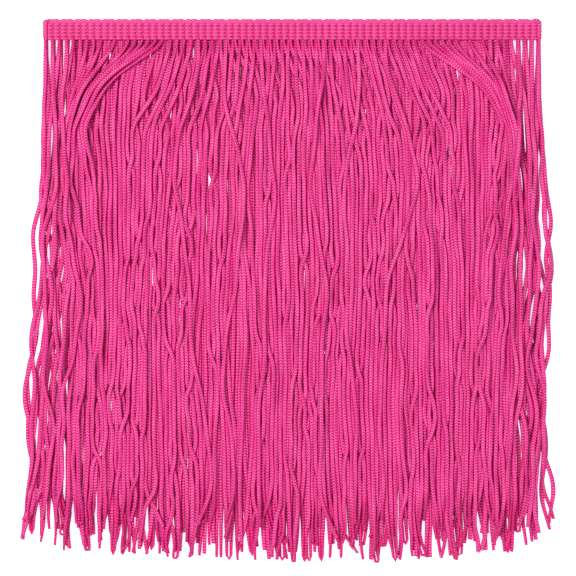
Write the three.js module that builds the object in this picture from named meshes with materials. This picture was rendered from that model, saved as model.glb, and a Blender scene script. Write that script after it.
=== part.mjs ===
// A cut length of chainette fringe trim, lying flat and face up with its fringe spread out below the heading.
// Millimetres. X runs along the heading, +Y runs from the fringe to the heading, and Z is up from the surface.
// The origin is the middle of the heading's flat underside.

import * as THREE from 'three';
import { mergeVertices } from 'three/addons/utils/BufferGeometryUtils.js';

// Knitted heading: a flat braid with one raised rib for each place where cords are laid in
const HEADING_LENGTH = 211.2;
const HEADING_HEIGHT = 8.8;
const HEADING_THICKNESS = 4.2;
const HEADING_CORNER = 1.7;
const HEADING_END_THICKNESS = 3.2;
const HEADING_BEVEL = 0.6;
const HEADING_EDGE_DROP = 0.9;
const RIB_COUNT = 72;
const RIB_PITCH = HEADING_LENGTH / RIB_COUNT;
const RIB_RELIEF = 0.6;
const SCALLOP = 0.4;
const CORNER_STEP = 0.45;

// Root strips, parted from the heading's lower edge
const STRIP_GAP = 0.3;
const STRIP_DEPTH = 1.5;
const STRIP_RIBS_PER_CELL = 4;
const STRIPS = {
  fringe_back: { bottom: 0, top: 1.95 },
  fringe_front: { bottom: 2.25, top: 4.2 },
};

// Chainette strands: three-sided, with the flat side down
const STRAND_WIDTH = 1.9;
const STRAND_THICKNESS = 1.2;
const STRAND_GAP = 0.3;
const ROOT_WIDTH = 1.5;
const ROOT_THICKNESS = 0.6;
const ROOT_STAGGER = 0.18;
const WIDEST_SLANT = 1.8;
const SPREAD_ROUNDS = 60;

// Layers of strands from the surface up: where each leaves its strip, where it lies further down, what share of
// the full width it reaches there, and in ribs how far it is shifted to lie in the spaces of the layer below
const LAYERS = [
  { name: 'floor', node: 'fringe_back', rootBase: 0.2, base: 0, reach: 1, shift: 0, phase: 0.13 },
  { name: 'lower', node: 'fringe_back', rootBase: 1.1, base: 1.5, reach: 0.99, shift: 0.5, phase: 0.16 },
  { name: 'upper', node: 'fringe_front', rootBase: 2.45, base: 3.0, reach: 0.965, shift: 0, phase: 0.62 },
  { name: 'swept', node: 'fringe_front', rootBase: 3.35, base: 4.5, reach: 0.985, shift: 0, phase: 0 },
  { name: 'stray', node: 'fringe_front', rootBase: 3.35, base: 6.0, reach: 0.985, shift: 0, phase: 0 },
];
const SHIFT_FULL_DOWN = 22;
const REACH_FULL_DOWN = 60;

// How far down each strand has a point, and how far the outermost strands lie from the middle there
const STATIONS = [
  { down: 1.8, left: 104.4, right: 104.4 },
  { down: 10, left: 104.4, right: 104.4 },
  { down: 22, left: 104.6, right: 104.8 },
  { down: 38, left: 105.6, right: 106.1 },
  { down: 62, left: 106.9, right: 107.7 },
  { down: 100, left: 108.4, right: 108.5 },
  { down: 150, left: 111.4, right: 107.6 },
  { down: 221, left: 114.5, right: 108.5 },
];
const OUTER_ROOT = (RIB_COUNT / 2 - 0.5) * RIB_PITCH;

// Full length of the fringe across its width
const LENGTHS = [
  { across: -106, length: 207 },
  { across: -98, length: 213 },
  { across: -82, length: 215 },
  { across: -70, length: 218 },
  { across: -20, length: 220.5 },
  { across: 60, length: 219.5 },
  { across: 78, length: 217.5 },
  { across: 96, length: 216 },
  { across: 106, length: 208 },
];
const LONG_SHORTFALL = 4;
const SHORT_FROM = 8;
const SHORT_TO = 16;
const SHORT_SHARE = { floor: 0.1, lower: 0.3, upper: 0.35, swept: 0.6, stray: 0.5 };

// Sideways drift of the plain layers
const OUTWARD_LEAN = 4.2;
const LEAN_CENTRE = 72;
const LEAN_REACH = 34;
const LEAN_FULL_DOWN = 45;
const LONG_WAVE = { size: 1.4, across: 83, down: 190 };
const SHORT_WAVE = { size: 0.7, across: 37, down: 117 };
const OWN_WAVE = { size: 0.6, down: 140 };
const WAVE_FULL_DOWN = 40;
const EDGE_CALM = 6;

// Guides of the swept layer, as distances from the middle at the stations. On both sides a bundle from the
// heading sweeps outwards over its neighbours, and the strands beside it fan after it.
const SWEPT_GUIDES = [
  { root: 104.1, at: [104.1, 104.1, 104.1, 104.1, 104.1, 104.1, 104.1, 104.1] },
  { root: 86.5, at: [86.5, 89, 94, 96, 97, 96, 95, 94] },
  { root: 66.0, at: [66, 73.5, 91, 93.5, 94, 92, 90, 89] },
  { root: 54.3, at: [54.3, 65, 82.3, 87, 85, 80, 77.5, 76.5] },
  { root: 51.3, at: [51.3, 53.8, 57.3, 66, 67.5, 70, 71, 71] },
  { root: 42.5, at: [42.5, 45.5, 49, 56, 57, 59, 60, 60] },
  { root: 27.9, at: [27.9, 29, 31, 35.5, 37, 38, 38, 37] },
  { root: 1.5, at: [1.5, 1.5, 1.5, 1.5, 1.5, 1.5, 1.5, 1.5] },
];
const SWEPT_RIBS = [0, 2, 4, 6, 13, 15, 16, 17, 18, 19, 20, 21, 23, 24, 25, 27, 28, 29, 30, 32, 33, 34, 35];

// Strays: single strands that wander over the others, counted in ribs from the heading's end
const STRAYS = [
  { rib: 1, at: [101.2, 101.2, 101, 100, 99, 102, 100, 97] },
  { rib: 3, at: [95.3, 95.3, 96.5, 96, 93, 90, 93, 92] },
  { rib: 22, at: [39.6, 39.6, 43, 49, 51, 43, 38, 36] },
  { rib: 26, at: [27.9, 27.9, 28, 26, 22, 24, 27, 25] },
  { rib: 31, at: [13.2, 13.2, 12.5, 10, 8, 12, 14, 12] },
];

const MATERIALS = {
  heading: new THREE.MeshStandardMaterial({ color: 0xe0468c, roughness: 0.6, metalness: 0 }),
  fringe_back: new THREE.MeshStandardMaterial({ color: 0xc23577, roughness: 0.55, metalness: 0 }),
  fringe_front: new THREE.MeshStandardMaterial({ color: 0xdd4288, roughness: 0.55, metalness: 0 }),
};

// Repeatable value from 0 to 1 for a numbered strand
function chance(number) {
  const value = Math.sin(number * 12.9898) * 43758.5453;
  return value - Math.floor(value);
}

// Value at a place in a table whose rows rise or fall along one column
function tableValue(rows, key, place, column) {
  const sorted = [...rows].sort((a, b) => a[key] - b[key]);
  const last = sorted[sorted.length - 1];
  if (place <= sorted[0][key]) return column(sorted[0]);
  if (place >= last[key]) return column(last);
  const after = sorted.findIndex((row) => row[key] > place);
  const low = sorted[after - 1];
  const high = sorted[after];
  const share = (place - low[key]) / (high[key] - low[key]);
  return column(low) + (column(high) - column(low)) * share;
}

// Closed geometry from a list of triangles given by their corners
function geometryFrom(triangles) {
  const geometry = new THREE.BufferGeometry().setFromPoints(triangles.flat());
  return mergeVertices(geometry, 1e-4);
}

// Side walls between rings of equal size, each ring running anticlockwise seen from the last one
function wallsBetween(rings) {
  const triangles = [];
  for (let k = 0; k + 1 < rings.length; k++) {
    const near = rings[k];
    const far = rings[k + 1];
    near.forEach((corner, i) => {
      const next = (i + 1) % near.length;
      triangles.push([corner, near[next], far[next]], [corner, far[next], far[i]]);
    });
  }
  return triangles;
}

// Flat end of a convex ring, facing the way from which the ring runs anticlockwise
function fanCap(ring) {
  return ring.slice(1, -1).map((corner, i) => [ring[0], corner, ring[i + 2]]);
}

// Section of the heading at one place along it, from its flat underside round over its front
function headingRing(x, thickness, scallop) {
  const toEnd = HEADING_LENGTH / 2 - Math.abs(x);
  const inCorner = Math.max(0, HEADING_CORNER - toEnd);
  const cornerCut = HEADING_CORNER - Math.sqrt(HEADING_CORNER ** 2 - inCorner ** 2);
  const top = HEADING_HEIGHT / 2 - scallop - cornerCut;
  const bottom = -HEADING_HEIGHT / 2 + cornerCut;
  return [
    new THREE.Vector3(x, bottom, 0),
    new THREE.Vector3(x, top, 0),
    new THREE.Vector3(x, top, thickness - HEADING_EDGE_DROP),
    new THREE.Vector3(x, top - HEADING_BEVEL, thickness),
    new THREE.Vector3(x, bottom + HEADING_BEVEL, thickness),
    new THREE.Vector3(x, bottom, thickness - HEADING_EDGE_DROP),
  ];
}

// The heading, ribbed across its front and scalloped along its top edge
function makeHeading() {
  const end = HEADING_LENGTH / 2;
  const rings = [headingRing(-end, HEADING_END_THICKNESS, SCALLOP)];
  rings.push(headingRing(-end + CORNER_STEP, HEADING_THICKNESS - RIB_RELIEF, SCALLOP / 2));
  for (let rib = 0; rib < RIB_COUNT; rib++) {
    const start = -end + rib * RIB_PITCH;
    if (rib > 0) rings.push(headingRing(start, HEADING_THICKNESS - RIB_RELIEF, SCALLOP));
    rings.push(headingRing(start + RIB_PITCH / 2, HEADING_THICKNESS, 0));
  }
  rings.push(headingRing(end - CORNER_STEP, HEADING_THICKNESS - RIB_RELIEF, SCALLOP / 2));
  rings.push(headingRing(end, HEADING_END_THICKNESS, SCALLOP));
  const first = [...rings[0]].reverse();
  return geometryFrom([...fanCap(first), ...wallsBetween(rings), ...fanCap(rings[rings.length - 1])]);
}

// Sideways place, before the fringe flares out, of a strand in one of the plain layers
function plainDrift(layer, root, down, number) {
  const lean = Math.exp(-(((Math.abs(root) - LEAN_CENTRE) / LEAN_REACH) ** 2));
  const leaned = Math.sign(root) * OUTWARD_LEAN * lean * Math.min(1, down / LEAN_FULL_DOWN);
  const turn = 2 * Math.PI;
  const long = Math.sin(turn * (root / LONG_WAVE.across + down / LONG_WAVE.down + layer.phase));
  const short = Math.sin(turn * (root / SHORT_WAVE.across - down / SHORT_WAVE.down + 3 * layer.phase));
  const own = Math.sin(turn * (down / OWN_WAVE.down + chance(number)));
  const waves = LONG_WAVE.size * long + SHORT_WAVE.size * short + OWN_WAVE.size * own;
  const shifted = layer.shift * RIB_PITCH * Math.min(1, down / SHIFT_FULL_DOWN);
  const freedom = 1 - (Math.abs(root) / OUTER_ROOT) ** EDGE_CALM;
  return root + (leaned + shifted + waves * Math.min(1, down / WAVE_FULL_DOWN)) * freedom;
}

// Places of a strand of the swept layer, between the guides on either side of its root
function guidedPlaces(side, root) {
  return STATIONS.map((_, k) => side * tableValue(SWEPT_GUIDES, 'root', root, (guide) => guide.at[k]));
}

// Flare of the whole fringe: the outermost strands follow its two edges and the rest follow in proportion
function flare(place, layer, station) {
  const edge = place < 0 ? station.left : station.right;
  const reach = 1 - (1 - layer.reach) * Math.min(1, station.down / REACH_FULL_DOWN);
  return (place * edge * reach) / OUTER_ROOT;
}

// Strands of one layer in order from left to right, each with its root and its place at each station
function strandsOf(layer, layerNumber) {
  const strands = [];
  const addStrand = (rib, places) => {
    const number = layerNumber * RIB_COUNT + rib + 1;
    strands.push({ rib, number, x: places.map((place, k) => flare(place, layer, STATIONS[k])) });
  };
  for (let rib = 0; rib < RIB_COUNT; rib++) {
    const root = (rib + 0.5) * RIB_PITCH - HEADING_LENGTH / 2;
    const side = Math.sign(root);
    const ribFromEnd = Math.min(rib, RIB_COUNT - 1 - rib);
    const stray = STRAYS.find((row) => row.rib === ribFromEnd);
    if (layer.name === 'stray') {
      if (stray) addStrand(rib, stray.at.map((place) => side * place));
    } else if (layer.name === 'swept') {
      if (SWEPT_RIBS.includes(ribFromEnd)) addStrand(rib, guidedPlaces(side, Math.abs(root)));
    } else {
      const number = layerNumber * RIB_COUNT + rib + 1;
      addStrand(rib, STATIONS.map(({ down }, k) => (k ? plainDrift(layer, root, down, number) : root)));
    }
  }
  return strands;
}

// Width of a strand measured across the fringe, which grows where the strand runs aslant
function slantedWidth(strand, k) {
  if (k === 0) return ROOT_WIDTH;
  const next = Math.min(k + 1, STATIONS.length - 1);
  const run = STATIONS[next].down - STATIONS[k - 1].down;
  const slope = (strand.x[next] - strand.x[k - 1]) / run;
  return STRAND_WIDTH * Math.min(WIDEST_SLANT, Math.hypot(1, slope));
}

// Neighbours of one layer pushed apart at each station until they clear each other, between the two outermost,
// which stay where the outline has them
function spreadStrands(strands) {
  STATIONS.forEach((_, k) => {
    strands.forEach((strand) => {
      strand.width = strand.width ?? [];
      strand.width[k] = slantedWidth(strand, k);
    });
  });
  for (let k = 1; k < STATIONS.length; k++) {
    for (let round = 0; round <= SPREAD_ROUNDS; round++) {
      for (let i = 0; i + 1 < strands.length; i++) {
        const [a, b] = [strands[i], strands[i + 1]];
        const lack = (a.width[k] + b.width[k]) / 2 + STRAND_GAP - (b.x[k] - a.x[k]);
        if (lack <= 0) continue;
        const isLastRound = round === SPREAD_ROUNDS;
        if (i > 0 && !isLastRound) a.x[k] -= lack / 2;
        if (i + 2 < strands.length || isLastRound) b.x[k] += isLastRound ? lack : lack / 2;
      }
    }
  }
}

// How far down a strand reaches: full length less a little, or cut clearly short
function strandLength(layer, strand) {
  const bottom = strand.x[STATIONS.length - 1];
  const full = tableValue(LENGTHS, 'across', bottom, (row) => row.length);
  const pick = chance(strand.number + 0.37);
  const isShort = chance(strand.number + 0.71) < SHORT_SHARE[layer.name];
  return full - (isShort ? SHORT_FROM + (SHORT_TO - SHORT_FROM) * pick : LONG_SHORTFALL * pick);
}

// Rings of a strand from its root to its end: two corners of its flat side and its ridge
function strandRings(layer, strand) {
  const length = strandLength(layer, strand);
  const edge = -HEADING_HEIGHT / 2;
  return STATIONS.map(({ down }, k) => {
    let y = edge - down;
    let x = strand.x[k];
    let width = strand.width[k];
    if (down > length) {
      const before = STATIONS[k - 1].down;
      const share = (length - before) / (down - before);
      y = edge - length;
      x = THREE.MathUtils.lerp(strand.x[k - 1], x, share);
      width = THREE.MathUtils.lerp(strand.width[k - 1], width, share);
    }
    const base = k ? layer.base : layer.rootBase + ROOT_STAGGER * chance(strand.number);
    const top = base + (k ? STRAND_THICKNESS : ROOT_THICKNESS);
    return [
      new THREE.Vector3(x - width / 2, y, base),
      new THREE.Vector3(x + width / 2, y, base),
      new THREE.Vector3(x, y, top),
    ];
  });
}

// Lower face of one cell of a root strip, left open where strands grow out of it
function cellFace(corners, rootRings) {
  const flat = (points) => points.map((point) => new THREE.Vector2(point.x, point.z));
  const all = [...corners, ...rootRings.flat()];
  const holes = rootRings.map((ring) => flat(ring));
  return THREE.ShapeUtils.triangulateShape(flat(corners), holes).map(([a, b, c]) => {
    const turn = new THREE.Vector3().subVectors(all[b], all[a]).cross(new THREE.Vector3().subVectors(all[c], all[a]));
    return turn.y < 0 ? [all[a], all[b], all[c]] : [all[a], all[c], all[b]];
  });
}

// One root strip with all strands of its layers growing out of its lower face
function makeFringe(node) {
  const strip = STRIPS[node];
  const upperY = -HEADING_HEIGHT / 2 - STRIP_GAP;
  const lowerY = upperY - STRIP_DEPTH;
  const triangles = [];
  const roots = [];
  LAYERS.forEach((layer, layerNumber) => {
    if (layer.node !== node) return;
    const strands = strandsOf(layer, layerNumber);
    spreadStrands(strands);
    strands.forEach((strand) => {
      const rings = strandRings(layer, strand);
      roots.push({ rib: strand.rib, ring: rings[0] });
      triangles.push(...wallsBetween(rings), ...fanCap(rings[rings.length - 1]));
    });
  });
  const cellCount = RIB_COUNT / STRIP_RIBS_PER_CELL;
  const sections = [];
  for (let cell = 0; cell <= cellCount; cell++) {
    const x = cell * STRIP_RIBS_PER_CELL * RIB_PITCH - HEADING_LENGTH / 2;
    sections.push([
      new THREE.Vector3(x, lowerY, strip.bottom),
      new THREE.Vector3(x, upperY, strip.bottom),
      new THREE.Vector3(x, upperY, strip.top),
      new THREE.Vector3(x, lowerY, strip.top),
    ]);
  }
  for (let cell = 0; cell < cellCount; cell++) {
    const [near, far] = [sections[cell], sections[cell + 1]];
    for (let side = 0; side < 3; side++) {
      triangles.push([near[side], near[side + 1], far[side + 1]], [near[side], far[side + 1], far[side]]);
    }
    const inCell = roots.filter(({ rib }) => Math.floor(rib / STRIP_RIBS_PER_CELL) === cell);
    triangles.push(...cellFace([near[0], far[0], far[3], near[3]], inCell.map(({ ring }) => ring)));
  }
  triangles.push(...fanCap([...sections[0]].reverse()), ...fanCap(sections[cellCount]));
  return geometryFrom(triangles);
}

const trim = new THREE.Group();
for (const [name, geometry] of [
  ['heading', makeHeading()],
  ['fringe_back', makeFringe('fringe_back')],
  ['fringe_front', makeFringe('fringe_front')],
]) {
  const mesh = new THREE.Mesh(geometry, MATERIALS[name]);
  mesh.name = name;
  trim.add(mesh);
}

export default trim;
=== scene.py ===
# A cut length of chainette fringe trim, lying flat and face up on a pale surface, seen from straight above.
# Sizes are in millimetres until a piece is made, and Blender's metres from there on.

import math

import bmesh
import bpy
import numpy as np
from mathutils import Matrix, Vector


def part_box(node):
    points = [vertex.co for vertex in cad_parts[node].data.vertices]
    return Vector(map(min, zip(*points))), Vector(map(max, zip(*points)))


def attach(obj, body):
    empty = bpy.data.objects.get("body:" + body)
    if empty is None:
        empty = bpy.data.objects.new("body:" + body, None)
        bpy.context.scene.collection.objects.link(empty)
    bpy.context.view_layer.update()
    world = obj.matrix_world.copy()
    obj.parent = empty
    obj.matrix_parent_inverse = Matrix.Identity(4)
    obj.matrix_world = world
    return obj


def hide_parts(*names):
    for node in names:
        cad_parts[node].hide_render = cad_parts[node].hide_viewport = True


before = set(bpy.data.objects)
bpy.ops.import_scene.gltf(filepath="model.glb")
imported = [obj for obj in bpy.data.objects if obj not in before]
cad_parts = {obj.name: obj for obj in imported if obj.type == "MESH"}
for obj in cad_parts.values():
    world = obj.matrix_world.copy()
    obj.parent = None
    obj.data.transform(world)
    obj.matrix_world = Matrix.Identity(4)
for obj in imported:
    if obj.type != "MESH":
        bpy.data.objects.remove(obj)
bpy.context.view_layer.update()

MM = 0.001


# Heading
# A flat braid of viscose yarn, warp-knitted across 72 ribs. Each rib is an upright chain of tight loops, and
# flat yarns are laid slanting from each chain to the next. Every other rib ends in a small loop at the top.

heading_low, heading_high = (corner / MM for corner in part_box("heading"))
HEADING_LENGTH = heading_high.x - heading_low.x
HEADING_EDGE = heading_low.y
RIB_COUNT = 72
RIB_PITCH = HEADING_LENGTH / RIB_COUNT
STITCH_ROWS = 6
STITCH_ROW_PITCH = 1.51
FIRST_ROW = 0.3
CHAIN_LOOP = {"length": 1.9, "width": 1.0, "thickness": 1.1, "height": 3.4, "turn": math.radians(24)}
INLAY = {"length": 2.9, "width": 1.85, "thickness": 1.3, "height": 3.05, "turn": math.radians(18)}
STITCH_FACES = {"segments": 10, "ring_count": 6}
CHAIN_ASIDE = -0.75
INLAY_ASIDE = 1.2
INLAY_RISE = 0.1
BODY_THICKNESS = 2.9
BODY_SHORTER = 0.3
BODY_LOWER = 0.6
BODY_DOWN = 0.25
BODY_EDGE = 0.9
BODY_EDGE_STEPS = 3
CORNER = 1.9
CORNER_STEPS = 5
EDGE_STRAND = {"length": 6.2, "width": 1.6, "thickness": 1.8, "height": 2.85, "turn": math.radians(4)}
EDGE_LOOP = {"length": 3.0, "width": 1.5, "thickness": 1.6, "height": 2.85, "turn": math.radians(12)}
EDGE_FACES = {"segments": 14, "ring_count": 8}
EDGE_BUMP = 0.5


def linear(hex_colour):
    """The linear colour that Blender's sockets take, from an sRGB hex value."""
    values = [int(hex_colour[i:i + 2], 16) / 255 for i in (1, 3, 5)]
    return [v / 12.92 if v <= 0.04045 else ((v + 0.055) / 1.055) ** 2.4 for v in values] + [1.0]


def add_node(tree, kind, inputs=None, **settings):
    """Adds a node with its settings. Inputs are values, or sockets of other nodes to link."""
    made = tree.nodes.new(kind)
    for name, value in settings.items():
        setattr(made, name, value)
    for place, value in (inputs or {}).items():
        if isinstance(value, bpy.types.NodeSocket):
            tree.links.new(value, made.inputs[place])
        else:
            made.inputs[place].default_value = value
    return made


def new_material(name):
    """A node material with only a shader and an output, and its tree and shader."""
    material = bpy.data.materials.new(name)
    material.use_nodes = True
    tree = material.node_tree
    tree.nodes.clear()
    shader = add_node(tree, "ShaderNodeBsdfPrincipled")
    add_node(tree, "ShaderNodeOutputMaterial", {"Surface": shader.outputs["BSDF"]})
    return material, tree, shader


def only(*chosen):
    """Selects these objects alone, with the first one active."""
    bpy.ops.object.select_all(action="DESELECT")
    for piece in chosen:
        piece.select_set(True)
    bpy.context.view_layer.objects.active = chosen[0]


def join(name, pieces):
    """Joins the pieces into one and names it."""
    only(*pieces)
    bpy.ops.object.join()
    whole = bpy.context.object
    whole.name = name
    whole.data.name = name
    return whole


def add_array(piece, offset, count):
    """Repeats a piece along a line and applies the repeat."""
    only(piece)
    array = piece.modifiers.new("repeat", "ARRAY")
    array.use_relative_offset = False
    array.use_constant_offset = True
    array.constant_offset_displace = offset
    array.count = count
    bpy.ops.object.modifier_apply(modifier=array.name)


def knitted_viscose():
    """Knitted viscose yarn: dyed through and softly lustrous, with painted shade, a deeper pink, where the
    stitches sink.
    """
    material, tree, shader = new_material("knitted_viscose")
    place = add_node(tree, "ShaderNodeTexCoord")
    # Slow shifts of tone over about 12 mm, as the yarn takes dye and tension unevenly
    tone = add_node(tree, "ShaderNodeTexNoise", {
        "Vector": place.outputs["Object"], "Scale": 85.0, "Detail": 2.0,
    })
    toned = add_node(tree, "ShaderNodeMix", {
        "Factor": tone.outputs["Fac"], 6: linear("#D0387F"), 7: linear("#E24A90"),
    }, data_type="RGBA")
    # Painted shade: the colour turns a deeper pink lower down, in the hollows between the stitches, where
    # less light comes out
    height = add_node(tree, "ShaderNodeSeparateXYZ", {"Vector": place.outputs["Object"]})
    shaded_hollow = add_node(tree, "ShaderNodeMapRange", {
        "Value": height.outputs["Z"], "From Min": 2.85 * MM, "From Max": 3.35 * MM,
        "To Min": 1.0, "To Max": 0.0,
    })
    coloured = add_node(tree, "ShaderNodeMix", {
        "Factor": shaded_hollow.outputs[0], 6: toned.outputs[2], 7: linear("#D80A74"),
    }, data_type="RGBA")
    # Filaments about 0.02 mm thick, drawn 0.2 mm apart so that they show
    fibre_place = add_node(tree, "ShaderNodeMapping", {
        "Vector": place.outputs["Object"], "Scale": (1200, 5000, 5000),
    })
    fibre = add_node(tree, "ShaderNodeTexNoise", {"Vector": fibre_place.outputs["Vector"], "Scale": 1.0})
    bump = add_node(tree, "ShaderNodeBump", {
        "Height": fibre.outputs["Fac"], "Strength": 0.35, "Distance": 0.08 * MM,
    })
    tree.links.new(coloured.outputs[2], shader.inputs["Base Color"])
    tree.links.new(bump.outputs["Normal"], shader.inputs["Normal"])
    shader.inputs["Roughness"].default_value = 0.45
    shader.inputs["Specular Tint"].default_value = linear("#FFC8E4")
    return material


def yarn_loop(form, rib, aside, y, faces):
    """A loop or laid yarn on one of the first ribs, as a flattened ball turned to its slant."""
    x = heading_low.x + (rib + 0.5) * RIB_PITCH + aside
    bpy.ops.mesh.primitive_uv_sphere_add(
        radius=0.5 * MM, location=(x * MM, y * MM, form["height"] * MM), rotation=(0, 0, form["turn"]),
        scale=(form["length"], form["width"], form["thickness"]), **faces,
    )
    made = bpy.context.object
    bpy.ops.object.transform_apply(location=True, rotation=True, scale=True)
    return made


def edge_loop(form, rib, drop):
    """A loop at the top edge over one of the first ribs, its top this far under the heading's."""
    return yarn_loop(form, rib, 0, heading_high.y - drop - form["width"] / 2, EDGE_FACES)


def round_off(piece):
    """Draws back what sticks out past the heading's ends and round corners."""
    for vertex in piece.data.vertices:
        place = vertex.co.xy / MM
        near = Vector((
            min(max(place.x, heading_low.x + CORNER), heading_high.x - CORNER),
            min(max(place.y, heading_low.y + CORNER), heading_high.y - CORNER),
        ))
        out = place - near
        if out.length > CORNER:
            vertex.co.xy = (near + out * (CORNER / out.length)) * MM


def heading_body():
    """The braid's body under the stitches, with round corners and soft edges."""
    middle = (heading_low + heading_high) / 2
    height = heading_high.y - heading_low.y - BODY_LOWER
    bpy.ops.mesh.primitive_cube_add(
        size=1, location=(middle.x * MM, (middle.y - BODY_DOWN) * MM, 0.5 * BODY_THICKNESS * MM),
        scale=((HEADING_LENGTH - BODY_SHORTER) * MM, height * MM, BODY_THICKNESS * MM),
    )
    body = bpy.context.object
    bpy.ops.object.transform_apply(location=True, rotation=True, scale=True)
    mesh = bmesh.new()
    mesh.from_mesh(body.data)
    upright = [edge for edge in mesh.edges if abs((edge.verts[0].co - edge.verts[1].co).z) > MM]
    bmesh.ops.bevel(
        mesh, geom=upright, offset=CORNER * MM, segments=CORNER_STEPS, profile=0.5, affect="EDGES",
    )
    mesh.to_mesh(body.data)
    mesh.free()
    bevel = body.modifiers.new("soft edges", "BEVEL")
    bevel.width = BODY_EDGE * MM
    bevel.segments = BODY_EDGE_STEPS
    bevel.limit_method = "ANGLE"
    bevel.angle_limit = math.radians(60)
    only(body)
    bpy.ops.object.modifier_apply(modifier=bevel.name)
    return body


first_row = heading_low.y + FIRST_ROW
stitches = join("heading_stitches", [
    yarn_loop(CHAIN_LOOP, 0, CHAIN_ASIDE, first_row, STITCH_FACES),
    yarn_loop(INLAY, 0, INLAY_ASIDE, first_row + INLAY_RISE, STITCH_FACES),
])
add_array(stitches, (0, STITCH_ROW_PITCH * MM, 0), STITCH_ROWS)
add_array(stitches, (RIB_PITCH * MM, 0, 0), RIB_COUNT)
edge_loops = join("edge_loops", [
    edge_loop(EDGE_STRAND, 0, EDGE_BUMP), edge_loop(EDGE_STRAND, 1, EDGE_BUMP), edge_loop(EDGE_LOOP, 1, 0),
])
add_array(edge_loops, (2 * RIB_PITCH * MM, 0, 0), RIB_COUNT // 2)
round_off(stitches)
round_off(edge_loops)
heading = join("heading_braid", [heading_body(), stitches, edge_loops])
heading.data.materials.append(knitted_viscose())
only(heading)
bpy.ops.object.shade_smooth_by_angle(angle=math.radians(50))
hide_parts("heading")
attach(heading, "root")


# Lay of the fringe
# Lengths of chain cord leave the heading up to four to a rib and lie spread on the surface, each drifting its
# own way. Some of the front ones sweep outwards over the rest on both sides, and a few stray on top.

LAYERS = [
    {"name": "floor", "course": "back", "root_height": 0.65, "reach": 1.0, "shift": 0.27, "uneven": -1.0,
     "lean": 0.3, "phase": 0.13, "free_from": 0, "short": 0.0},
    {"name": "lower", "course": "back", "root_height": 1.4, "reach": 0.99, "shift": 0.27, "uneven": 1.0,
     "lean": 0.4, "phase": 0.16, "free_from": 0, "short": 0.1},
    {"name": "upper", "course": "front", "root_height": 3.2, "reach": 0.965, "shift": 0.0, "uneven": 0.0,
     "lean": 0.0, "phase": 0.62, "free_from": 8, "short": 0.7},
    {"name": "swept", "course": "front", "root_height": 3.3, "reach": 0.985, "free_from": 35, "short": 0.6},
    {"name": "stray", "course": "front", "root_height": 3.3, "reach": 0.985, "free_from": 35, "short": 0.6},
]
SHIFT_FULL_DOWN = 1.8
SHIFT_WAVE = 17.3
LEFT_OUT = {"floor": [1, 70], "lower": [3, 67]}
REACH_FULL_DOWN = 60
# Distances down from the heading's lower edge, and the fringe's half width at each, left and right
STATIONS = [1.8, 10, 16, 22, 38, 62, 100, 150, 221]
EDGES = [
    {"side": -1, "at": [104.6, 104.6, 104.7, 104.8, 105.8, 107.8, 107.4, 111.2, 115.6]},
    {"side": 1, "at": [104.8, 104.9, 105.0, 105.2, 106.3, 108.0, 108.5, 107.6, 108.8]},
]
OUTER_ROOT = (RIB_COUNT / 2 - 0.5) * RIB_PITCH
FLARE_GROWTH = 4
# How deep the longest cords hang at places across the fringe
LENGTHS = {
    "across": [-110, -98, -85, -56, -20, 62, 78, 96, 106],
    "length": [213.3, 217, 218, 220, 221.8, 221.8, 218.5, 218, 213.3],
}
LEVEL_SHARE = 0.42
LEVEL_WITHIN = 0.7
LONG_SHORTFALL = 8
SHORT_FROM = 7
SHORT_TO = 17
OUTWARD_LEAN = 4.2
LEAN_CENTRE = 72
LEAN_REACH = 34
LEAN_FULL_DOWN = 22
# How far the upper cords part to either side, by the place of their root
PARTING = {
    "root": [-104, -90, -75, -56, -45, -38, -33, -26, -10, 10, 30, 45, 56, 75, 90, 104],
    "aside": [0, -3, -4.5, -5, -5, -2, 1.5, 5.5, 7.5, 8, 7.5, 6.5, 5.5, 5, 3, 0],
}
LONG_WAVE = {"size": 1.4, "across": 83, "down": 190}
SHORT_WAVE = {"size": 0.7, "across": 37, "down": 117}
SHORT_WAVE_PHASES = 3
WAVE_FULL_DOWN = 40
EDGE_CALM = 6
# Where a swept cord from each of these roots lies at each station, and which ribs have one, from either end
SWEPT_GUIDES = [
    {"root": 1.5, "at": [1.5, 1.5, 1.5, 1.5, 1.5, 1.5, 1.5, 1.5, 1.5]},
    {"root": 27.9, "at": [27.9, 29, 30, 31, 35.5, 37, 38, 38, 37]},
    {"root": 42.5, "at": [42.5, 45.5, 47.3, 49, 56, 57, 59, 60, 60]},
    {"root": 51.3, "at": [51.3, 53.8, 55.5, 57.3, 66, 67.5, 70, 71, 71]},
    {"root": 54.3, "at": [54.3, 67, 76, 81.5, 88.5, 86.5, 82, 79, 78]},
    {"root": 60.0, "at": [60, 71, 78.6, 83.8, 90, 88.5, 84.5, 82, 81]},
    {"root": 66.0, "at": [66, 73.6, 80.4, 85.8, 91.5, 90.8, 87.5, 86, 85]},
    {"root": 74.0, "at": [74, 80.5, 84.8, 88.4, 93, 93.5, 92, 90.5, 90]},
    {"root": 82.7, "at": [82.7, 85.3, 87, 89.4, 94.5, 96, 96, 95, 94]},
    {"root": 91.4, "at": [91.4, 93.3, 94.5, 95.9, 98, 99, 99.5, 99, 98.5]},
    {"root": 104.1, "at": [104.1, 104.1, 104.1, 104.1, 104.1, 104.1, 104.1, 104.1, 104.1]},
]
SWEPT_RIBS = [
    0, 2, 4, 6, 8, 10, 12, 13, 14, 15, 16, 17, 18, 19, 20, 21, 23, 24, 25, 27, 28, 29, 30, 32, 33, 34, 35,
]
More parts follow.
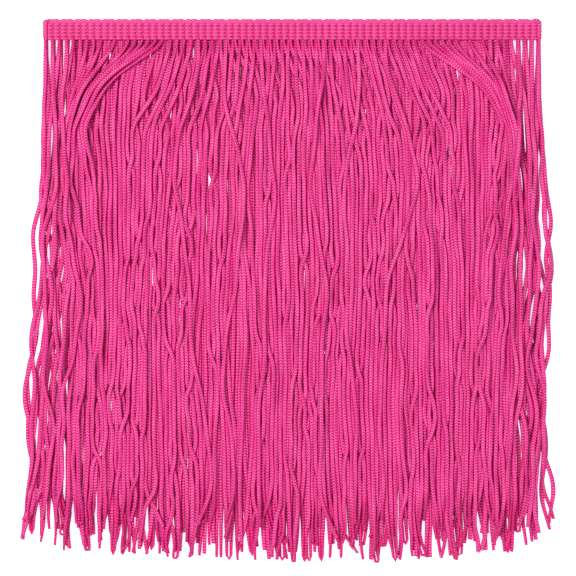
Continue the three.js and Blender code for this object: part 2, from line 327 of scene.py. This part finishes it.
# Where the stray cord of a rib lies at each station
STRAYS = {
    1: [101.2, 101.2, 101.1, 101, 100, 99, 102, 100, 97],
    3: [95.3, 95.3, 95.9, 96.5, 96, 93, 90, 93, 92],
    22: [39.6, 39.6, 41, 43, 49, 51, 43, 38, 36],
    26: [27.9, 27.9, 28, 28, 26, 22, 24, 27, 25],
    31: [13.2, 13.2, 12.9, 12.5, 10, 8, 12, 14, 12],
}
CORD_WIDTH = 2.0
CORD_THICKNESS = 1.15
ROW = 0.75
DOWN = np.arange(0, 222, ROW)
OWN_BENDS = [
    {"size": 0.7, "down": 140},
    {"size": 0.6, "down": 70},
    {"size": 0.3, "down": 31},
]
BEND_FULL_DOWN = 25
BEND_PACE = {"least": 0.75, "change": 0.5}
TREND_ROWS = 9
UNDER_SWEEP = {"from": 50, "to": 84, "over": 6, "height": 1.2}
WANDER = {"size": 1.7, "down": 150, "from": 25, "full": 80}
WANDER_PACE = {"least": 0.6, "change": 0.8}
ROOT_SCATTER = [{"size": 0.55, "ribs": 3.7}, {"size": 1.0, "ribs": 8.3}]
ROOT_SCATTER_DOWN = 9
COURSE_SPACING = {"back": 1.47, "front": 1.8}
SPACING_CHANGE = 0.4
SPREAD_ROUNDS = 60
SPREAD_SHARE = 0.25
SPREAD_BEND_ROWS = 15
SPREAD_LIMIT = 94
SPREAD_FADE = 8
EDGE_WILDNESS = {"at": [0.4, 2.4], "down": [20, 80]}
# What each chance is for, with the number that a cord's own number is multiplied by and the one added to it
CHANCES = {
    "bend start": (3.1, 0), "bend pace": (1.7, 0), "wander pace": (5.3, 0), "wander start": (7.7, 0),
    "room": (4.1, 0), "shortfall": (1, 0.37), "cut short": (1, 0.71), "level": (1, 0.83), "roll": (1, 0.5),
    "edge on": (1, 0.6), "flick": (1, 0.19), "looped": (1, 0.9), "loop": (1, 0.27), "laid when": (2.3, 0),
}
CHANCE_TURN = 12.9898
CHANCE_SIZE = 43758.5453


def chance(purpose, number, step=0):
    """A repeatable value from 0 to 1 for one purpose and a numbered cord."""
    times, added = CHANCES[purpose]
    value = math.sin((number * times + added + step) * CHANCE_TURN) * CHANCE_SIZE
    return value - math.floor(value)


def eased(value):
    """From 0 to 1 with a soft start and end."""
    share = np.clip(value, 0, 1)
    return share * share * (3 - 2 * share)


def smoothed(values, rows):
    """Running mean down the cords over a number of rows, with the ends held."""
    sides = [(0, 0)] * (values.ndim - 1) + [(rows // 2 + 1, rows // 2)]
    total = np.cumsum(np.pad(values, sides, mode="edge"), axis=-1)
    return (total[..., rows:] - total[..., :-rows]) / rows


def plain_drift(layer, root, down):
    """Sideways place of a cord of a plain layer before the fringe flares out."""
    lean = math.exp(-(((abs(root) - LEAN_CENTRE) / LEAN_REACH) ** 2))
    aside = math.copysign(layer["lean"] * OUTWARD_LEAN * lean, root)
    if layer["name"] == "upper":
        aside = np.interp(root, PARTING["root"], PARTING["aside"])
    leaned = aside * min(1, down / LEAN_FULL_DOWN)
    turn = 2 * math.pi
    long = math.sin(turn * (root / LONG_WAVE["across"] + down / LONG_WAVE["down"] + layer["phase"]))
    phase = SHORT_WAVE_PHASES * layer["phase"]
    short = math.sin(turn * (root / SHORT_WAVE["across"] - down / SHORT_WAVE["down"] + phase))
    waves = LONG_WAVE["size"] * long + SHORT_WAVE["size"] * short
    uneven = 1 + layer["uneven"] * math.sin(turn * root / SHIFT_WAVE)
    shifted = layer["shift"] * uneven * RIB_PITCH * min(1, down / SHIFT_FULL_DOWN)
    freedom = 1 - (abs(root) / OUTER_ROOT) ** EDGE_CALM
    return root + (leaned + shifted + waves * min(1, down / WAVE_FULL_DOWN)) * freedom


def swept_places(side, root):
    """Places of a cord of the swept layer, between the guides on either side of its root."""
    roots = [guide["root"] for guide in SWEPT_GUIDES]
    return [side * np.interp(root, roots, places) for places in zip(*(guide["at"] for guide in SWEPT_GUIDES))]


def own_bends(number, root):
    """Small bends of one cord down its length."""
    bends = np.zeros(len(DOWN))
    for k, bend in enumerate(OWN_BENDS):
        start = chance("bend start", number, k)
        pace = BEND_PACE["least"] + BEND_PACE["change"] * chance("bend pace", number, k)
        bends += bend["size"] * np.sin(2 * math.pi * (pace * DOWN / bend["down"] + start))
    at_edge = (abs(root) / OUTER_ROOT) ** EDGE_CALM
    wild = 1 + (np.interp(DOWN, EDGE_WILDNESS["down"], EDGE_WILDNESS["at"]) - 1) * at_edge
    return wild * bends * np.clip(DOWN / BEND_FULL_DOWN, 0, 1)


def wander(number, root):
    """Slow drift of one front cord, enough to cross its neighbours further down."""
    size = WANDER["size"] * (1 - (abs(root) / OUTER_ROOT) ** EDGE_CALM)
    pace = WANDER_PACE["least"] + WANDER_PACE["change"] * chance("wander pace", number)
    drift = np.sin(2 * math.pi * (pace * DOWN / WANDER["down"] + chance("wander start", number)))
    return size * drift * eased((DOWN - WANDER["from"]) / (WANDER["full"] - WANDER["from"]))


def cords_of(layer, layer_number):
    """The cords of one layer from left to right, each with its number, rib and place at every row."""
    cords = []
    for rib in range(RIB_COUNT):
        root = (rib + 0.5) * RIB_PITCH - HEADING_LENGTH / 2
        side = 1 if root > 0 else -1
        from_end = min(rib, RIB_COUNT - 1 - rib)
        number = layer_number * RIB_COUNT + rib + 1
        if layer["name"] == "stray":
            places = [side * place for place in STRAYS.get(from_end, [])]
        elif layer["name"] == "swept":
            places = swept_places(side, abs(root)) if from_end in SWEPT_RIBS else []
        else:
            places = [plain_drift(layer, root, down) for down in STATIONS]
        if not places or rib in LEFT_OUT.get(layer["name"], []):
            continue
        flared = []
        for k, place in enumerate(places):
            edge = EDGES[0 if place < 0 else 1]["at"][k]
            reach = 1 - (1 - layer["reach"]) * min(1, STATIONS[k] / REACH_FULL_DOWN)
            flare = (edge * reach / OUTER_ROOT - 1) * (abs(place) / OUTER_ROOT) ** FLARE_GROWTH
            flared.append(place * (1 + flare))
        trend = smoothed(np.interp(DOWN, STATIONS, flared), TREND_ROWS)
        if layer["course"] == "front":
            trend = trend + wander(number, root)
        if layer["name"] == "upper":
            aside = sum(wave["size"] * math.sin(2 * math.pi * rib / wave["ribs"]) for wave in ROOT_SCATTER)
            calm = 1 - (abs(root) / OUTER_ROOT) ** EDGE_CALM
            trend = trend + calm * aside * eased((DOWN - STATIONS[0]) / ROOT_SCATTER_DOWN)
        x = trend + own_bends(number, root)
        cords.append({"number": number, "rib": rib, "layer": layer, "trend": trend, "x": x})
    return cords


def spread(cords, spacing):
    """Moves cords of one course sideways until they lie beside each other, with the crossings kept."""
    x = np.array([cord["x"] for cord in cords])
    order = np.argsort([cord["trend"] for cord in cords], axis=0)
    starts = np.array([[cord["layer"]["free_from"]] for cord in cords])
    rooms = np.array([[1 + SPACING_CHANGE * (2 * chance("room", cord["number"]) - 1)] for cord in cords])
    ordered_rooms = spacing * np.take_along_axis(np.repeat(rooms, len(DOWN), axis=1), order, axis=0)
    needed = (ordered_rooms[:-1] + ordered_rooms[1:]) / 2
    is_free = np.clip((SPREAD_LIMIT - np.abs(x)) / SPREAD_FADE, 0, 1)
    is_free = is_free * np.clip((DOWN - starts) / BEND_FULL_DOWN, 0, 1)
    for _ in range(SPREAD_ROUNDS):
        gaps = np.diff(np.take_along_axis(x, order, axis=0), axis=0)
        lack = np.clip(needed - gaps, 0, None) * SPREAD_SHARE
        push = np.zeros_like(x)
        push[:-1] -= lack
        push[1:] += lack
        moves = np.zeros_like(x)
        np.put_along_axis(moves, order, push, axis=0)
        x = x + smoothed(smoothed(moves, SPREAD_BEND_ROWS), SPREAD_BEND_ROWS) * is_free
    for cord, moved in zip(cords, x):
        cord["x"] = moved


def cord_length(layer, cord):
    """How far down a cord reaches: full length less a little, or cut clearly short."""
    full = np.interp(cord["x"][-1], LENGTHS["across"], LENGTHS["length"])
    pick = chance("shortfall", cord["number"])
    if chance("cut short", cord["number"]) < layer["short"]:
        return full - SHORT_FROM - (SHORT_TO - SHORT_FROM) * pick
    past_level = max(0, pick - LEVEL_SHARE) / (1 - LEVEL_SHARE)
    return full - LONG_SHORTFALL * past_level - LEVEL_WITHIN * chance("level", cord["number"])


courses = {"back": [], "front": []}
strays = []
for layer_number, layer in enumerate(LAYERS):
    placed = strays if layer["name"] == "stray" else courses[layer["course"]]
    placed.extend(cords_of(layer, layer_number))
for course, cords in courses.items():
    spread(cords, COURSE_SPACING[course])


# Chain stitch
# One stitch of the knitted chain cord: a short length of flat tube with two lobes on its face, crossed by a
# V-shaped crease. Repeated end to end it is a chainette, which shows two columns of slanted loops.

STITCH_PITCH = 1.21
CREASE = 0.8
CREST = 1.06
LOBE_ASIDE = 0.62
SIDE_HEIGHT = 0.22
LOBE_HEIGHT = 0.95
GROOVE_HEIGHT = 0.6
CHEVRON = 0.3
SIDE_FIRMNESS = 0.55
# Corners of the section as aside, height and lag behind the ring, and rings as step, size and slant
SECTION = [
    (1, SIDE_HEIGHT, 1.3), (LOBE_ASIDE, LOBE_HEIGHT, 0.1), (0, GROOVE_HEIGHT, -1.3),
    (-LOBE_ASIDE, LOBE_HEIGHT, 0.1), (-1, SIDE_HEIGHT, 1.3), (-LOBE_ASIDE, -LOBE_HEIGHT, 0),
    (LOBE_ASIDE, -LOBE_HEIGHT, 0),
]
FULL_RINGS = [(0, CREASE, 1), (0.5, CREST, 1), (1, CREASE, 1)]
PLAIN_RINGS = [(0, 0.98, 0), (2, 0.98, 0)]
FULL_START_RINGS = [(0.5, 0.5, 1), (1, CREASE, 1)]
PLAIN_START_RINGS = [(1.5, 0.5, 0), (2, 0.98, 0)]
FULL_END_RINGS = [(0, CREASE, 1), (0.5, 1.02, 0.5), (0.8, 0.95, 0), (0.85, 0.7, 0)]
PLAIN_END_RINGS = [(0, 0.98, 0), (0.3, 0.95, 0), (0.35, 0.7, 0)]


def chain_stitch(name, section, rings, closed=None):
    """A stitch along +X from the origin, its section drawn in and out from ring to ring."""
    mesh = bmesh.new()
    uv = mesh.loops.layers.uv.new("stitches")
    made = []
    for step, size, slant in rings:
        width = size + SIDE_FIRMNESS * (1 - size)
        made.append([mesh.verts.new((
            (step + CHEVRON * slant * lag) * STITCH_PITCH * MM,
            aside * (width if abs(aside) == 1 else size) * CORD_WIDTH / 2 * MM,
            height * size * CORD_THICKNESS / 2 * MM,
        )) for aside, height, lag in section])
    for ring, (near, far) in enumerate(zip(made, made[1:])):
        for i in range(len(section)):
            j = (i + 1) % len(section)
            face = mesh.faces.new((near[i], far[i], far[j], near[j]))
            face.smooth = True
            for loop, (corner, step) in zip(face.loops, ((i, ring), (i, ring + 1), (j, ring + 1), (j, ring))):
                loop[uv].uv = (section[corner][0], rings[step][0])
    if closed is not None:
        mesh.faces.new(made[closed])
    bmesh.ops.recalc_face_normals(mesh, faces=mesh.faces)
    data = bpy.data.meshes.new(name)
    mesh.to_mesh(data)
    mesh.free()
    stitch = bpy.data.objects.new(name, data)
    bpy.context.scene.collection.objects.link(stitch)
    return stitch


# The back course is mostly hidden, so its stitches have fewer faces and no groove
PLAIN_SECTION = SECTION[:2] + SECTION[3:]
FULL = {
    "unit": chain_stitch("full_stitch", SECTION, FULL_RINGS), "stitches": 1,
    "start": chain_stitch("full_start", SECTION, FULL_START_RINGS, closed=0),
    "end": chain_stitch("full_end", SECTION, FULL_END_RINGS, closed=-1),
}
PLAIN = {
    "unit": chain_stitch("plain_stitch", PLAIN_SECTION, PLAIN_RINGS), "stitches": 2,
    "start": chain_stitch("plain_start", PLAIN_SECTION, PLAIN_START_RINGS, closed=0),
    "end": chain_stitch("plain_end", PLAIN_SECTION, PLAIN_END_RINGS, closed=-1),
}


# Pile
# Loose cords lie heaped three or four deep and sink between each other. Here they are laid one by one on a
# map of how high the pile is, so each rests on those that it crosses.

COLUMN = 0.3
PILE_LEFT = -130
PILE_COLUMNS = 870
BEND_ROWS = 9
PRESS = 0.88
LIFT_FROM_HEADING = 14
pile = np.zeros((len(DOWN), PILE_COLUMNS))


def highest(values, rows):
    """Running maximum over a number of rows."""
    padded = np.pad(values, rows // 2, mode="edge")
    return np.max([padded[i:i + len(values)] for i in range(rows)], axis=0)


def settle(x, half_width, half_thick):
    """Heights of a cord's middle where it rests on the pile, which it then raises."""
    rows = np.arange(len(x))[:, None]
    reach = int(CORD_WIDTH / COLUMN)
    cells = np.round((x - PILE_LEFT) / COLUMN).astype(int)[:, None] + np.arange(-reach, reach + 1)
    across = (PILE_LEFT + cells * COLUMN - x[:, None]) / half_width[:, None]
    belly = PRESS * half_thick[:, None] * np.sqrt(np.clip(1 - across ** 2, 0, None))
    touches = np.abs(across) < 1
    needed = np.where(touches, pile[rows, cells] + belly, 0).max(axis=1)
    needed = np.maximum(needed, half_thick)
    height = smoothed(highest(needed, BEND_ROWS), BEND_ROWS)
    top = np.where(touches, height[:, None] + belly, 0)
    pile[rows, cells] = np.maximum(pile[rows, cells], top)
    return height


# Chainette cords
# Knitted viscose chain cord about 2 mm wide and 1.15 mm thick, laid into the heading and turned back at the
# bottom in a small tight loop, so that many neighbours are two legs of one cord. Other ends hang single.

LOOPED_SHARE = 0.32
LOOP_REACH = 4.2
LOOP_SPACING = {"least": 1.15, "most": 1.95}
LOOP_CLOSE_OVER = 45
TURN_SQUARENESS = 0.5
TURN_STEPS = 8
FLICK_SIZE = {"back": 3.2, "front": 6.5}
FLICK_OVER = 22
ROLL_SIZE = {"back": 0.3, "front": 0.5}
ROOT_ROLL = {"floor": 0, "lower": 0, "upper": 0.8, "swept": 1.15, "stray": 0.8}
ROOT_ROLL_DOWN = 13
ROLL_DOWN = 55
EDGE_ON = math.radians(80)
HALF_ON = 0.5
EDGE_ON_SHARE = 0.8
EDGE_ON_OVER = 24
ROOT_IN_HEADING = 3.0
ROOT_DROP = 1.8
END_CORD_TURN = 1.8
END_CORD_HEIGHT = 3.85
END_CORD_FROM_TOP = {"tip": 0.8, "bend": 1.0, "straight": 3.5}
END_CORD_OVER_EDGE = 1
POINT_ROWS = 4
BUNDLES = 3
LARGEST_WHOLE = 12


def leg_of(cord, length, looped):
    """Rows down from the heading, sideways places and roll of one leg of a cord."""
    number = cord["number"]
    rows = int(length / ROW)
    down = DOWN[:rows]
    layer = cord["layer"]
    roll = ROLL_SIZE[layer["course"]] * np.sin(2 * math.pi * (down / ROLL_DOWN + chance("roll", number)))
    on_edge = looped or chance("edge on", number) < EDGE_ON_SHARE
    turned = eased(1 - (length - down) / EDGE_ON_OVER) * (EDGE_ON if on_edge else HALF_ON)
    settled = eased(down / ROOT_ROLL_DOWN)
    rolled = ROOT_ROLL[layer["name"]] * (1 - settled) + roll * settled
    return down, cord["x"][:rows].copy(), rolled * (1 - turned / EDGE_ON) + turned


def flick(course, number, length, down):
    """Sideways turn of a cord's end, which is small for most and large for a few."""
    near_end = np.clip(1 - (length - down) / FLICK_OVER, 0, 1)
    return FLICK_SIZE[course] * (2 * chance("flick", number) - 1) ** 3 * near_end ** 2


def half_height(roll):
    """How far a rolled cord's middle is above what it rests on."""
    return np.hypot(CORD_WIDTH / 2 * np.sin(roll), CORD_THICKNESS / 2 * np.cos(roll))


def lay(layer, x, roll, down):
    """Heights of a leg, rising from the heading on to the pile. Plain layers start lower under the sweep."""
    half_width = np.hypot(CORD_WIDTH / 2 * np.cos(roll), CORD_THICKNESS / 2 * np.sin(roll))
    settled = settle(x, half_width, half_height(roll))
    ease = eased(down / LIFT_FROM_HEADING)
    under = min(abs(x[0]) - UNDER_SWEEP["from"], UNDER_SWEEP["to"] - abs(x[0])) / UNDER_SWEEP["over"]
    drop = max(0, layer["root_height"] - UNDER_SWEEP["height"]) * eased(under) if "lean" in layer else 0
    return (layer["root_height"] - drop) * (1 - ease) + settled * ease


def leg_points(cord, down, x, z, roll):
    """Points of a leg from inside the heading to its end: x, y, z and roll, in millimetres and radians."""
    picked = np.r_[0:len(down) - 1:POINT_ROWS, len(down) - 1]
    points = [(x[i], HEADING_EDGE - down[i], z[i], roll[i]) for i in picked]
    # The first and the last cord lie up over the heading's ends, as if wrapped round them
    is_end_cord = cord["rib"] in (0, RIB_COUNT - 1) and cord["layer"]["name"] == "upper"
    if is_end_cord:
        inwards = -math.copysign(END_CORD_TURN, x[0])
        return [
            (x[0] + inwards, heading_high.y - END_CORD_FROM_TOP["tip"], END_CORD_HEIGHT, 0.0),
            (x[0], heading_high.y - END_CORD_FROM_TOP["bend"], END_CORD_HEIGHT, 0.0),
            (x[0], heading_high.y - END_CORD_FROM_TOP["straight"], END_CORD_HEIGHT, 0.0),
            (x[0], HEADING_EDGE + END_CORD_OVER_EDGE, END_CORD_HEIGHT, 0.0),
        ] + points
    root_z = max(z[0] - ROOT_DROP, half_height(roll[0]))
    return [(x[0], HEADING_EDGE + ROOT_IN_HEADING, root_z, roll[0])] + points


def loop_points(first, second):
    """Points of the turn between the ends of two legs, squarer than a half circle."""
    middle = [(a + b) / 2 for a, b in zip(first, second)]
    radius = abs(second[0] - first[0]) / 2
    turned = []
    for step in range(1, TURN_STEPS):
        angle = math.pi * step / TURN_STEPS
        share = step / TURN_STEPS
        across = math.copysign(abs(math.cos(angle)) ** TURN_SQUARENESS, math.cos(angle))
        turned.append((
            middle[0] + (first[0] - middle[0]) * across,
            middle[1] - radius * math.sin(angle) ** TURN_SQUARENESS,
            first[2] * (1 - share) + second[2] * share,
            first[3] * (1 - share) + second[3] * share,
        ))
    return turned


def make_cord(name, points, chain):
    """A length of chain stitches along a path."""
    path = bpy.data.curves.new(name + "_path", "CURVE")
    path.dimensions = "3D"
    path.twist_mode = "Z_UP"
    path.use_stretch = True
    path.use_deform_bounds = True
    path.resolution_u = 3
    spline = path.splines.new("NURBS")
    spline.points.add(len(points) - 1)
    for point, (x, y, z, roll) in zip(spline.points, points):
        point.co = (x * MM, y * MM, z * MM, 1)
        point.tilt = roll
    spline.order_u = 3
    spline.use_endpoint_u = True
    route = bpy.data.objects.new(name + "_path", path)
    bpy.context.scene.collection.objects.link(route)
    length = sum(math.dist(a[:3], b[:3]) for a, b in zip(points, points[1:]))
    cord = chain["unit"].copy()
    cord.data = chain["unit"].data.copy()
    cord.name = name
    bpy.context.scene.collection.objects.link(cord)
    only(cord)
    array = cord.modifiers.new("stitches", "ARRAY")
    array.use_relative_offset = False
    array.use_constant_offset = True
    array.constant_offset_displace = (chain["stitches"] * STITCH_PITCH * MM, 0, 0)
    array.count = round(length / (chain["stitches"] * STITCH_PITCH))
    array.offset_v = chain["stitches"]
    array.start_cap = chain["start"]
    array.end_cap = chain["end"]
    array.use_merge_vertices = True
    array.merge_threshold = 0.02 * MM
    bend = cord.modifiers.new("lie", "CURVE")
    bend.object = route
    bpy.ops.object.modifier_apply(modifier=array.name)
    bpy.ops.object.modifier_apply(modifier=bend.name)
    bpy.data.objects.remove(route)
    return cord


def knitted_chain():
    """Viscose chainette: glossy slanted loops, with painted shade, a deep pink, in the creases, down the
    middle and along the flanks.
    """
    material, tree, shader = new_material("viscose_chainette")
    stitches = add_node(tree, "ShaderNodeUVMap", uv_map="stitches")
    across_along = add_node(tree, "ShaderNodeSeparateXYZ", {"Vector": stitches.outputs["UV"]})
    in_stitch = add_node(tree, "ShaderNodeMath", {0: across_along.outputs["Y"]}, operation="FRACT")
    from_crest = add_node(tree, "ShaderNodeMath", {0: in_stitch.outputs[0], 1: 0.5}, operation="SUBTRACT")
    off_crest = add_node(tree, "ShaderNodeMath", {0: from_crest.outputs[0]}, operation="ABSOLUTE")
    # Painted shade: deep pink in the creases between stitches, down the middle groove and along the flanks,
    # where less light reaches
    crease_shade = add_node(tree, "ShaderNodeMapRange", {
        "Value": off_crest.outputs[0], "From Min": 0.02, "From Max": 0.34,
    }, interpolation_type="SMOOTHSTEP")
    aside = add_node(tree, "ShaderNodeMath", {0: across_along.outputs["X"]}, operation="ABSOLUTE")
    groove_shade = add_node(tree, "ShaderNodeMapRange", {
        "Value": aside.outputs[0], "From Min": 0.0, "From Max": 0.3, "To Min": 0.6, "To Max": 0.0,
    })
    flank_shade = add_node(tree, "ShaderNodeMapRange", {
        "Value": aside.outputs[0], "From Min": 0.45, "From Max": 0.95, "To Min": 0.0, "To Max": 1.0,
    })
    shaded_hollow = add_node(tree, "ShaderNodeMath", {
        0: crease_shade.outputs[0], 1: groove_shade.outputs[0],
    }, operation="MAXIMUM")
    painted_shade = add_node(tree, "ShaderNodeMath", {
        0: shaded_hollow.outputs[0], 1: flank_shade.outputs[0],
    }, operation="MAXIMUM")
    # Tone that differs from cord to cord, every 2 mm or so, and shifts slowly along each
    place = add_node(tree, "ShaderNodeTexCoord")
    stretched = add_node(tree, "ShaderNodeMapping", {
        "Vector": place.outputs["Object"], "Scale": (420, 16, 200),
    })
    tone = add_node(tree, "ShaderNodeTexNoise", {
        "Vector": stretched.outputs["Vector"], "Scale": 1.0, "Detail": 1.0,
    })
    toned = add_node(tree, "ShaderNodeMix", {
        "Factor": tone.outputs["Fac"], 6: linear("#D04A9A"), 7: linear("#F08ACA"),
    }, data_type="RGBA")
    # Mixes the deep pink of the painted shade over the tone
    coloured = add_node(tree, "ShaderNodeMix", {
        "Factor": painted_shade.outputs[0], 6: toned.outputs[2], 7: linear("#D2006A"),
    }, data_type="RGBA")
    # Filaments about 0.02 mm thick, drawn 0.2 mm apart so that they show
    fibre_place = add_node(tree, "ShaderNodeMapping", {
        "Vector": place.outputs["Object"], "Scale": (5000, 1500, 5000),
    })
    fibre = add_node(tree, "ShaderNodeTexNoise", {"Vector": fibre_place.outputs["Vector"], "Scale": 1.0})
    raised = add_node(tree, "ShaderNodeMath", {
        0: shaded_hollow.outputs[0], 1: -0.8, 2: fibre.outputs["Fac"],
    }, operation="MULTIPLY_ADD")
    bump = add_node(tree, "ShaderNodeBump", {
        "Height": raised.outputs[0], "Strength": 0.5, "Distance": 0.2 * MM,
    })
    tree.links.new(coloured.outputs[2], shader.inputs["Base Color"])
    tree.links.new(bump.outputs["Normal"], shader.inputs["Normal"])
    shader.inputs["Roughness"].default_value = 0.36
    shader.inputs["Specular IOR Level"].default_value = 0.42
    shader.inputs["Specular Tint"].default_value = linear("#FFBCE0")
    return material


chainette = knitted_chain()
for layer in LAYERS:
    cords = sorted([cord for cord in courses["back"] + courses["front"] + strays if cord["layer"] is layer],
                   key=lambda cord: cord["x"][-1])
    groups = []
    while cords:
        cord = cords.pop(0)
        near = cords and cords[0]["x"][-1] - cord["x"][-1] < LOOP_REACH
        looped = near and layer["name"] != "stray" and chance("looped", cord["number"]) < LOOPED_SHARE
        groups.append([cord, cords.pop(0)] if looped else [cord])
    made = []
    for group in sorted(groups, key=lambda group: chance("laid when", group[0]["number"])):
        number = group[0]["number"]
        length = cord_length(layer, group[0])
        legs = [[cord, *leg_of(cord, length, len(group) == 2)] for cord in group]
        if len(legs) == 2:
            closing = eased(1 - (length - legs[0][1]) / LOOP_CLOSE_OVER)
            centre = (legs[0][2] + legs[1][2]) / 2
            loose = chance("loop", number)
            aside = (LOOP_SPACING["least"] * (1 - loose) + LOOP_SPACING["most"] * loose) / 2
            legs[0][2] = legs[0][2] * (1 - closing) + (centre - aside) * closing
            legs[1][2] = legs[1][2] * (1 - closing) + (centre + aside) * closing
        runs = []
        for cord, down, x, roll in legs:
            x += flick(layer["course"], number, length, down)
            z = lay(layer, x, roll, down)
            runs.append(leg_points(cord, down, x, z, roll))
        points = runs[0]
        if len(runs) == 2:
            points = runs[0] + loop_points(runs[0][-1], runs[1][-1]) + runs[1][::-1]
        made.append(make_cord(f"cord_{number}", points, PLAIN if layer["course"] == "back" else FULL))
    bundles = [made[k::BUNDLES] for k in range(BUNDLES)] if len(made) > LARGEST_WHOLE else [made]
    for place, part in enumerate(bundles, start=1):
        bundle = join(f"chainette_{layer['name']}_{place}", part)
        bundle.data.materials.clear()
        bundle.data.materials.append(chainette)
        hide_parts(f"fringe_{layer['course']}")
        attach(bundle, "root")
for chain in (FULL, PLAIN):
    for part in ("unit", "start", "end"):
        bpy.data.objects.remove(chain[part])


# Surface, light and camera
# Smooth pale paper, matt and so bright that shadows on it stay faint, a key light from the upper left, a wide
# soft one from the lower right, and a camera looking straight down at the photo's scale.

PAPER_WIDTH = 6
PAPER_DROP = 0.05
bpy.ops.mesh.primitive_plane_add(size=PAPER_WIDTH, location=(0, 0, -PAPER_DROP * MM))
surface = bpy.context.object
surface.name = "surface"
paper, _, paper_shader = new_material("pale_paper")
paper_shader.inputs["Base Color"].default_value = linear("#DAD6E6")
paper_shader.inputs["Roughness"].default_value = 0.9
paper_shader.inputs["Emission Color"].default_value = linear("#F6F2FF")
paper_shader.inputs["Emission Strength"].default_value = 0.8
surface.data.materials.append(paper)

world = bpy.data.worlds.new("room")
bpy.context.scene.world = world
world.use_nodes = True
ray = add_node(world.node_tree, "ShaderNodeLightPath")
seen = add_node(world.node_tree, "ShaderNodeMapRange", {
    "Value": ray.outputs["Is Camera Ray"], "To Min": 0.26, "To Max": 0.9,
})
world.node_tree.nodes["Background"].inputs["Color"].default_value = linear("#FFFFFF")
world.node_tree.links.new(seen.outputs[0], world.node_tree.nodes["Background"].inputs["Strength"])

LIGHTS = [
    {"name": "key", "place": (-0.48, 0.2, 1.3), "size": 0.4, "power": 18.5},
    {"name": "fill", "place": (0.4, -0.8, 1.0), "size": 0.8, "power": 7},
]
for kind in LIGHTS:
    lamp = bpy.data.lights.new(kind["name"], "AREA")
    lamp.size = kind["size"]
    lamp.energy = kind["power"]
    light = bpy.data.objects.new(kind["name"], lamp)
    light.location = kind["place"]
    light.rotation_euler = (-Vector(kind["place"])).to_track_quat("-Z", "Y").to_euler()
    bpy.context.scene.collection.objects.link(light)

PHOTO_PIXELS = 576
PHOTO_SCALE = 0.4233
HEADING_PIXEL = (292, 28.85)
TRIM_HEIGHT = 4
LENS = 100
SENSOR = 36
view_width = PHOTO_PIXELS * PHOTO_SCALE
aim_x = (PHOTO_PIXELS / 2 - HEADING_PIXEL[0]) * PHOTO_SCALE
aim_y = (HEADING_PIXEL[1] - PHOTO_PIXELS / 2) * PHOTO_SCALE
lens = bpy.data.cameras.new("camera")
lens.lens = LENS
lens.sensor_width = SENSOR
camera = bpy.data.objects.new("camera", lens)
camera.location = (aim_x * MM, aim_y * MM, (view_width * LENS / SENSOR + TRIM_HEIGHT) * MM)
bpy.context.scene.collection.objects.link(camera)
bpy.context.scene.camera = camera
bpy.context.scene.view_settings.view_transform = "Standard"
# The denoiser takes the fine stitches for noise and wipes them out
bpy.context.scene.cycles.use_denoising = False
